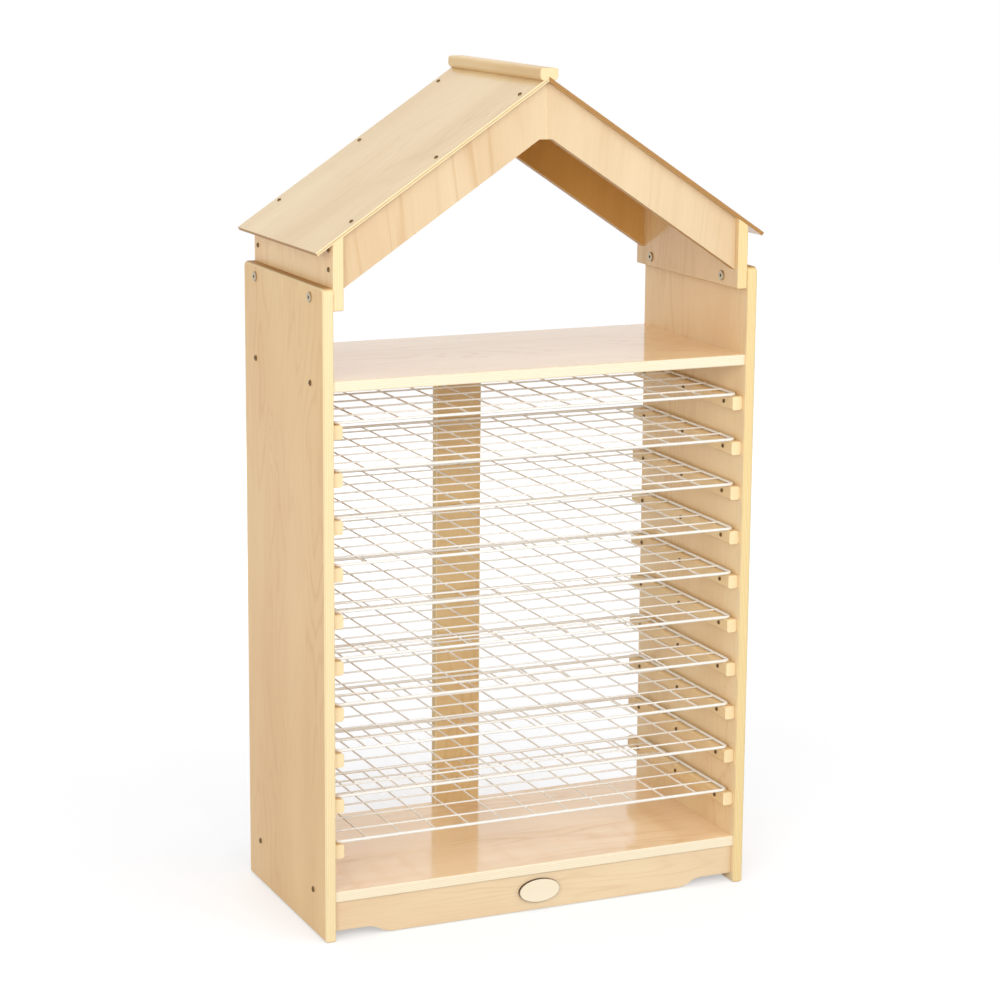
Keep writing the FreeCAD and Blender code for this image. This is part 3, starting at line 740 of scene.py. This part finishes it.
def lump(centre, size):
    """A small egg of weld metal."""
    vertices = []
    faces = []
    for r in range(1, LUMP_RINGS):
        lift = math.pi * r / LUMP_RINGS
        for turn in full_turn(LUMP_SIDES):
            x = centre[0] + size[0] * math.sin(lift) * math.cos(turn)
            y = centre[1] + size[1] * math.sin(lift) * math.sin(turn)
            vertices.append((x, y, centre[2] + size[2] * math.cos(lift)))
    top = len(vertices)
    vertices += [(centre[0], centre[1], centre[2] + way * size[2]) for way in (1, -1)]
    lowest = (LUMP_RINGS - 2) * LUMP_SIDES
    for s in range(LUMP_SIDES):
        t = (s + 1) % LUMP_SIDES
        for r in range(0, lowest, LUMP_SIDES):
            faces.append((r + s, r + LUMP_SIDES + s, r + LUMP_SIDES + t, r + t))
        faces.append((top, s, t))
        faces.append((top + 1, lowest + t, lowest + s))
    return vertices, faces


def joined(parts):
    """Several (vertices, faces) as one."""
    vertices = []
    faces = []
    for part_vertices, part_faces in parts:
        start = len(vertices)
        vertices += part_vertices
        faces += [tuple(start + n for n in face) for face in part_faces]
    return vertices, faces


print("wire helpers ready")

# %% One rack
WELD = INNER_WIRE * 0.6325  # half the width of a weld where two inner wires cross
# Half the length, width and height of a weld where an inner wire ends on the frame
FRAME_WELD = (FRAME_WIRE * 0.52, INNER_WIRE * 0.62, INNER_WIRE * 0.53)
WELD_INWARD = 1.2  # mm from the middle of the frame wire
(x0, x1), (y0, y1), (z0, z1) = span("wire_rack_01")
half = x1 - FRAME_WIRE / 2
rack_front = y0 + FRAME_WIRE / 2
rack_back = y1 - FRAME_WIRE / 2
rack_middle = (rack_front + rack_back) / 2
layer = INNER_WIRE / 2


def wire_places(half_length):
    """Where the inner wires lie, either side of the middle."""
    count = int((half_length - WIRE_SPACING / 2) / WIRE_SPACING)
    return [WIRE_SPACING * n for n in range(-count, count + 1)]


corners = rectangle(-half, half, rack_front, rack_back, (RACK_CORNER,) * 4)(0)
frame_path = [(a, b, 0) for a, b in corners]
depth_wires = wire_places(half)
width_wires = [rack_middle + y for y in wire_places((rack_back - rack_front) / 2)]
parts = [swept(frame_path, FRAME_WIRE / 2, FRAME_SIDES, closed=True)]
along, across, high = FRAME_WELD
for x in depth_wires:
    wire = [(x, rack_front, -layer), (x, rack_back, -layer)]
    parts.append(swept(wire, INNER_WIRE / 2, INNER_SIDES))
    for y, inward in ((rack_front, WELD_INWARD), (rack_back, -WELD_INWARD)):
        parts.append(lump((x, y + inward, -layer), (across, along, high)))
for y in width_wires:
    wire = [(-half, y, layer), (half, y, layer)]
    parts.append(swept(wire, INNER_WIRE / 2, INNER_SIDES))
    for x, inward in ((-half, WELD_INWARD), (half, -WELD_INWARD)):
        parts.append(lump((x + inward, y, layer), (along, across, high)))
    parts += [lump((x, y, 0), (WELD, WELD, layer)) for x in depth_wires]
rack_vertices, rack_faces = joined(parts)
print("one rack:", len(rack_vertices), "vertices")

# %% Ten racks
WIRE_SHARP_ANGLE = 60
for number in range(1, 11):
    node = f"wire_rack_{number:02d}"
    body = f"rack_{number:02d}"
    z0, z1 = span(node)[2]
    lift = (z0 + z1) / 2
    grille = [(x, y, z + lift) for x, y, z in rack_vertices], rack_faces
    make_piece(node, grille, wire_coat, body, WIRE_SHARP_ANGLE)
print("racks:", number)

# %% [markdown]
# ## Screws and bolts
# The screws are brown bronzed steel with low domed heads and a cross recess. The roof's connector
# bolts and sleeve nuts are bright zinc-plated steel, with a broad flat head and a hexagon socket.
# Bronzing is uneven and plating dulls in faint blotches, and both mirror the pale room. The frame
# says where each one sits: `fastener_places` takes a node apart into its loose solids, and finds
# the outermost plane of each along the way it was driven.

# %% Steel materials
BRONZED = ("#907654", "#6E573B")  # where the brown finish is thin, and where it is thick
BRONZED_ROUGHNESS = 0.38
ZINC = ("#BAAA90", "#AD9D83")
ZINC_ROUGHNESS = 0.25
BLOTCHES = 700.0  # to a metre

look = {"Metallic": 1.0, "Roughness": BRONZED_ROUGHNESS}
bronzed_steel, tree, shader = new_material("bronzed_steel_screw", **look)
mottled(tree, shader, BRONZED, BLOTCHES)
look = {"Metallic": 1.0, "Roughness": ZINC_ROUGHNESS}
zinc_steel, tree, shader = new_material("zinc_steel_connector", **look)
mottled(tree, shader, ZINC, BLOTCHES)
print("blotches of", round(1000 / BLOTCHES, 1), "mm")

# %% Where each fastener sits
RIM_DEPTH = 0.05  # mm; vertices this near the outermost plane belong to it
# Ways to drive a fastener on the right, which are mirrored on the left
TOWARDS_THE_SIDE = (1, 0, 0)
TOWARDS_THE_MIDDLE = (-1, 0, 0)
INTO_THE_ROOF = (-ROOF_PITCH, 0, -1)


def fastener_places(node, driven):
    """Centre of the outer face (mm), inward direction and length of each loose solid of a node."""
    work = bmesh.new()
    work.from_mesh(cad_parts[node].data)
    bmesh.ops.remove_doubles(work, verts=work.verts, dist=1e-6)
    left = dict.fromkeys(work.verts)  # a set would hand them over in another order each time
    places = []
    while left:
        group = [left.popitem()[0]]
        for vertex in group:
            for edge in vertex.link_edges:
                other = edge.other_vert(vertex)
                if other in left:
                    del left[other]
                    group.append(other)
        points = [vertex.co / MM for vertex in group]
        sign = 1 if sum(point.x for point in points) > 0 else -1
        inward = Vector((sign * driven[0], driven[1], driven[2])).normalized()
        depths = [point.dot(inward) for point in points]
        nearest = min(depths)
        rim = [point for point, depth in zip(points, depths) if depth < nearest + RIM_DEPTH]
        places.append((sum(rim, Vector()) / len(rim), inward, max(depths) - nearest))
    work.free()
    return sorted(places, key=lambda place: [round(c, 2) for c in place[0]])


print("roof bolts:", len(fastener_places("roof_bolts", TOWARDS_THE_MIDDLE)))

# %% Outlines of heads and recesses
HEAD_STEPS = 24  # points in a circle, and in each recess, so that they can be joined
ARM_SHARE = 0.34  # half the width of a cross recess's arm, of its reach


def circle(radius):
    return arc((0, 0), radius, full_turn(HEAD_STEPS))


def cross_recess(reach):
    """Outline of a cross-shaped recess, with as many points as a circle."""
    arm = reach * ARM_SHARE
    half_way = (arm + reach) / 2
    quarter = [(reach, 0), (reach, arm), (half_way, arm), (arm, arm), (arm, half_way), (arm, reach)]
    outline = []
    for _ in range(4):
        outline += quarter
        quarter = [(-b, a) for a, b in quarter]
    return outline


def hexagon_recess(across_flats):
    """Outline of a hexagon socket, with as many points as a circle."""
    corners = arc((0, 0), across_flats / math.sqrt(3), [math.pi / 3 * n for n in range(7)])
    steps = HEAD_STEPS // 6
    outline = []
    for (a0, b0), (a1, b1) in zip(corners, corners[1:]):
        outline += [(a0 + (a1 - a0) * n / steps, b0 + (b1 - b0) * n / steps) for n in range(steps)]
    return outline


def stacked(rings):
    """Joins (outline, height) rings of equal length into a closed skin."""
    vertices = [(a, b, height) for outline, height in rings for a, b in outline]
    return vertices, skin(len(rings), len(rings[0][0]))


print("points in a recess:", len(cross_recess(1)), len(hexagon_recess(1)))

# %% Screws, bolts and the barrel nut
# Height 0 is the outermost plane of a head. Pairs go from its middle to its rim: shares of radius
# and thickness for a screw, and mm in from the rim and down for a connector.
HEAD_THICKNESS = 2.0
RECESS_REACH = 0.62  # as a share of the head's radius
RECESS_FLOOR = 0.8  # its width and its depth, as shares of the recess's and the head's
RECESS_LIP = 0.02  # mm
SCREW_DOME = ((0.68, 0.02), (0.86, 0.16), (0.96, 0.38), (1.0, 0.62), (1.0, 1.0))
STRAIGHT_SHANK = 0.8  # share of a screw's length, before the point
POINT = 0.06  # width, as a share of the shank's
CONNECTOR_THICKNESS = 2.5
CONNECTOR_FLAT = 0.45  # where the flat round the socket starts, as a share of the radius
SOCKET_DEPTH = 0.9  # share of the head's thickness
CONNECTOR_RIM = ((1.3, 0.0), (0.6, 0.15), (0.15, 0.6), (0.0, 1.1))
SOCKET = 5.0
BARREL_NUT = 12.0
NUT_EASE = 0.4
SLOT_WIDTH = 1.6
SLOT_DEPTH = 1.6
SLOT_SHARE = 0.86  # of the nut's width


def wood_screw(length, head, shank):
    """A pan-head screw with a cross recess."""
    r = head / 2
    recess = cross_recess(r * RECESS_REACH)
    bottom = [(a * RECESS_FLOOR, b * RECESS_FLOOR) for a, b in recess]
    rings = [(bottom, -HEAD_THICKNESS * RECESS_FLOOR), (recess, -RECESS_LIP)]
    rings += [(circle(r * wide), -HEAD_THICKNESS * down) for wide, down in SCREW_DOME]
    rings += [(circle(shank / 2), -HEAD_THICKNESS), (circle(shank / 2), -length * STRAIGHT_SHANK)]
    return stacked(rings + [(circle(shank * POINT), -length)])


def connector(length, head, shank):
    """A broad flat head with a hexagon socket on a plain shank."""
    r = head / 2
    recess = hexagon_recess(SOCKET)
    rings = [(recess, -CONNECTOR_THICKNESS * SOCKET_DEPTH), (recess, 0.0)]
    rings += [(circle(r * CONNECTOR_FLAT), 0.0)]
    rings += [(circle(r - inward), -down) for inward, down in CONNECTOR_RIM]
    rings += [(circle(r), -CONNECTOR_THICKNESS), (circle(shank / 2), -CONNECTOR_THICKNESS)]
    return stacked(rings + [(circle(shank / 2), -length)])


def barrel_nut(length):
    """A short bar with a driver slot across its face."""
    r = BARREL_NUT / 2
    slot = [(a * SLOT_SHARE, max(-SLOT_WIDTH / 2, min(SLOT_WIDTH / 2, b))) for a, b in circle(r)]
    rings = [(slot, -SLOT_DEPTH), (slot, 0.0), (circle(r - NUT_EASE), 0.0)]
    return stacked(rings + [(circle(r), -NUT_EASE), (circle(r), -length)])


print("a screw has", len(wood_screw(30, 8, 4)[0]), "vertices")

# %% Fasteners in their places
TURN_TO_NEXT = 2.4  # radians; no two screws are left at the same turn
SCREWS = {  # how each is driven, and the widths of its head and its shank
    "runner_screws_left": (TOWARDS_THE_SIDE, 7.0, 4.0),
    "runner_screws_right": (TOWARDS_THE_SIDE, 7.0, 4.0),
    "shelf_screws": (TOWARDS_THE_MIDDLE, 10.0, 5.0),
    "roof_screws": (INTO_THE_ROOF, 7.0, 4.0),
    "gable_screws": (TOWARDS_THE_MIDDLE, 8.0, 4.5),
}
CONNECTORS = {
    "roof_bolts": (TOWARDS_THE_MIDDLE, 17.0, 6.0),
    "roof_bolt_nuts": (TOWARDS_THE_SIDE, 17.0, 9.0),
    "post_bolt": (UP, 17.0, 6.0),
}


def set_in_place(node, driven, shape, sizes, material):
    """One copy of a fastener at each place in the node, each turned as the driver left it."""
    parts = []
    for number, (centre, inward, length) in enumerate(fastener_places(node, driven)):
        vertices, faces = shape(length, *sizes)
        turn = Matrix.Rotation(number * TURN_TO_NEXT, 3, "Z")
        turned = (-inward).to_track_quat("Z", "Y").to_matrix() @ turn
        parts.append(([tuple(turned @ Vector(v) + centre) for v in vertices], faces))
    make_piece(node, joined(parts), material)
    print(node, len(parts))


for node, (driven, *sizes) in SCREWS.items():
    set_in_place(node, driven, wood_screw, sizes, bronzed_steel)
for node, (driven, *sizes) in CONNECTORS.items():
    set_in_place(node, driven, connector, sizes, zinc_steel)
set_in_place("post_barrel_nut", DEEP, barrel_nut, (), bronzed_steel)

# %% [markdown]
# ## Dowels
# Beech dowels join the post, the toe board and the gables. They stay hidden in the wood, so their
# CAD meshes do, and only get the pinkish tan and short flecks of plain, unfinished beech.

# %% Dowels
BEECH = ("#E3BE8E", "#CFA271")
BEECH_ROUGHNESS = 0.6
BEECH_FLECKS = 900.0  # to a metre across a dowel
FLECK_STRETCH = (1, 1, 1 / 6)  # and six times longer along it
beech, tree, shader = new_material("beech_dowel", Roughness=BEECH_ROUGHNESS)
mottled(tree, shader, BEECH, BEECH_FLECKS, stretch=FLECK_STRETCH)
for node in ("post_dowels", "toe_board_dowels", "gable_dowels"):
    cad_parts[node].data.materials.clear()
    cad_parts[node].data.materials.append(beech)
print("dowels are beech")

# %% [markdown]
# ## The oval plaque
# A blank oval of thin pale plywood, glued to the middle of the toe board. It was cut by laser, so
# its edge is scorched dark brown, and a faint brown haze creeps onto the face at the rim.

# %% Plaque
PLAQUE_BIRCH = ("#F2E7D0", "#E6D2AE")
PLAQUE_FIGURE = 0.4
PLAQUE_ROUGHNESS = 0.5
PLAQUE_EASE = 0.4
PLAQUE_STEPS = 64
SCORCH = "#4A2E18"
HAZE = {"From Min": 0.93, "From Max": 1.0, "To Max": 0.55}  # from this share of the way to the rim
(x0, x1), (y0, y1), (z0, z1) = span("front_plaque")
plaque_middle = Vector(((x0 + x1) / 2, y0, (z0 + z1) / 2))
reach_x = (x1 - x0) / 2
reach_z = (z1 - z0) / 2

scorched, tree, shader = new_material("laser_cut_plywood_plaque", Roughness=PLAQUE_ROUGHNESS)
(u, v, _), (_, _, to_face) = board_space(tree, SIDEWAYS, DEEP, plaque_middle)
u_share = add_node(tree, "Math", (u, reach_x * MM), operation="DIVIDE")
v_share = add_node(tree, "Math", (v, reach_z * MM), operation="DIVIDE")
share = add_node(tree, "CombineXYZ", (u_share, v_share, 0.0))
rim = add_node(tree, "VectorMath", (share,), "Value", operation="LENGTH")
haze = add_node(tree, "MapRange", {"Value": rim, **HAZE})
dark, _ = figure_of_birch(tree, u, v, 0.0, 4.0, PLAQUE_FIGURE)
face = add_node(tree, "Mix", {0: dark, 6: PLAQUE_BIRCH[0], 7: PLAQUE_BIRCH[1]}, 2, data_type="RGBA")
face = add_node(tree, "Mix", {0: haze, 6: face, 7: SCORCH}, 2, data_type="RGBA")
is_face = add_node(tree, "MapRange", {"Value": to_face, "From Min": 0.8, "From Max": 0.95})
colour = add_node(tree, "Mix", {0: is_face, 6: SCORCH, 7: face}, 2, data_type="RGBA")
tree.links.new(colour, shader.inputs["Base Color"])

turns = full_turn(PLAQUE_STEPS)
oval = [(reach_x * math.cos(t), plaque_middle.z + reach_z * math.sin(t)) for t in turns]
plaque = board_mesh("Y", polygon(oval), y0, y1, PLAQUE_EASE, 0)
make_piece("front_plaque", plaque, scorched)
print("plaque:", round(2 * reach_x), "by", round(2 * reach_z), "mm")

# %% [markdown]
# ## Studio: floor, light and camera
# A pale floor catches the shadow, in matt paint that mirrors nothing. Large soft lamps along the
# front give even light, a little more of it from the left. One hangs overhead, one glows behind
# like a lit backdrop, and a pale surround fills the rest. It looks plain white to the camera and in
# reflections, whatever light it gives. The lamps don't show in reflections, or the lacquered
# shelves would mirror them as white patches, seen from behind.

# %% Floor
WHITE = "#FFFFFF"
FLOOR_SIZE = 600.0
FLOOR_PALE = "#CCCDD0"
FLOOR_ROUGHNESS = 0.9
NEAR_LIFT = 0.43  # glow seen directly, so that the lit floor comes out white and the shadow stays
FAR_LIFT = 0.75  # and further off, where the lamps' light runs out
LIFT = {"From Min": 1.0, "From Max": 5.0, "To Min": NEAR_LIFT, "To Max": FAR_LIFT}


def seen_directly(tree):
    """1 for what the camera sees, straight or in a reflection or through glass."""
    camera = add_node(tree, "LightPath", output="Is Camera Ray")
    glossy = add_node(tree, "LightPath", output="Is Glossy Ray")
    through = add_node(tree, "LightPath", output="Is Transmission Ray")
    seen = add_node(tree, "Math", (camera, glossy), operation="MAXIMUM")
    return add_node(tree, "Math", (seen, through), operation="MAXIMUM")


bpy.ops.mesh.primitive_plane_add(size=FLOOR_SIZE)
floor = bpy.context.object
floor.name = "studio_floor"
floor_paint, tree, shader = new_material("matt_floor_paint", Roughness=FLOOR_ROUGHNESS)
shader.inputs["Base Color"].default_value = to_linear(FLOOR_PALE)
shader.inputs["Emission Color"].default_value = to_linear(WHITE)
place = add_node(tree, "TexCoord", output="Object")
distance = add_node(tree, "VectorMath", (place,), "Value", operation="LENGTH")
lift = add_node(tree, "MapRange", {"Value": distance, **LIFT})
glow = add_node(tree, "Math", (seen_directly(tree), lift), operation="MULTIPLY")
tree.links.new(glow, shader.inputs["Emission Strength"])
floor.data.materials.append(floor_paint)
print("floor glow near and far:", NEAR_LIFT, FAR_LIFT)

# %% Surround
SURROUND_LIGHT = 0.32
world = bpy.data.worlds.new("pale_studio")
bpy.context.scene.world = world
world.use_nodes = True
tree = world.node_tree
tree.nodes.clear()
fill = add_node(tree, "Background", (WHITE, SURROUND_LIGHT))
shown = add_node(tree, "Background", (WHITE, 1.0))
surround = add_node(tree, "MixShader", (seen_directly(tree), fill, shown))
output = tree.nodes.new("ShaderNodeOutputWorld")
tree.links.new(surround, output.inputs["Surface"])
print("surround gives", SURROUND_LIGHT, "and shows 1.0")

# %% Lamps
RACK_MIDDLE = Vector((0, 0, 0.8))  # metres
LAMPS = {  # place in metres, width in metres, power in watts
    "front_left_soft_box": ((-3.7, -4.5, 2.4), 3.0, 134),
    "left_soft_box": ((-5.2, -1.4, 1.9), 3.0, 38),
    "front_soft_box": ((0.2, -5.3, 2.7), 2.6, 90),
    "high_right_soft_box": ((2.4, -4.0, 3.8), 2.4, 40),
    "front_right_soft_box": ((4.2, -3.4, 2.1), 3.0, 48),
    "overhead_soft_box": ((0, -0.3, 4.2), 3.0, 36),
    "glow_of_the_backdrop": ((0, 3.6, 2.0), 3.0, 62),
}
for name, (place, size, watts) in LAMPS.items():
    data = bpy.data.lights.new(name, "AREA")
    data.size = size
    data.energy = watts
    lamp = bpy.data.objects.new(name, data)
    lamp.location = place
    lamp.rotation_euler = (RACK_MIDDLE - lamp.location).to_track_quat("-Z", "Y").to_euler()
    lamp.visible_glossy = False
    bpy.context.scene.collection.objects.link(lamp)
print("lamps:", list(LAMPS))

# %% [markdown]
# The camera stands at the front left, a little above the rack. `YAW`, `PITCH` and `ROLL` turn it
# the way a tripod head does. Its lens is shifted only slightly, so that the rack also stays in the
# frame when the camera is moved round it.

# %% Camera
EYE = (-1.8711, -4.2130, 1.6543)
YAW = math.radians(23.9792)
PITCH = math.radians(-11.5436)
ROLL = math.radians(-0.4355)
LENS = 101.46
SENSOR = 36.0
SHIFT_UP = -0.03
FARTHEST = 1000.0  # metres, beyond the far corners of the floor
tilt = math.cos(PITCH)
forward = Vector((math.sin(YAW) * tilt, math.cos(YAW) * tilt, math.sin(PITCH)))
level = Vector((math.cos(YAW), -math.sin(YAW), 0))
down = forward.cross(level)
right = level * math.cos(ROLL) + down * math.sin(ROLL)
down = down * math.cos(ROLL) - level * math.sin(ROLL)
camera_data = bpy.data.cameras.new("studio_camera")
camera_data.sensor_width = SENSOR
camera_data.lens = LENS
camera_data.shift_y = SHIFT_UP
camera_data.clip_end = FARTHEST
camera = bpy.data.objects.new("studio_camera", camera_data)
axes = Matrix((right, -down, -forward)).transposed()
camera.matrix_world = Matrix.Translation(EYE) @ axes.to_4x4()
bpy.context.scene.collection.objects.link(camera)
bpy.context.scene.camera = camera
bpy.context.scene.view_settings.view_transform = "Standard"
print("camera", [round(c, 2) for c in camera.location])

# %% [markdown]
# ## Bring the scene up to date
# The view layer is updated, so that every piece stands where it was put. The dressed part
# has to stay inside the CAD model's box.

# %% Update the view layer
bpy.context.view_layer.update()
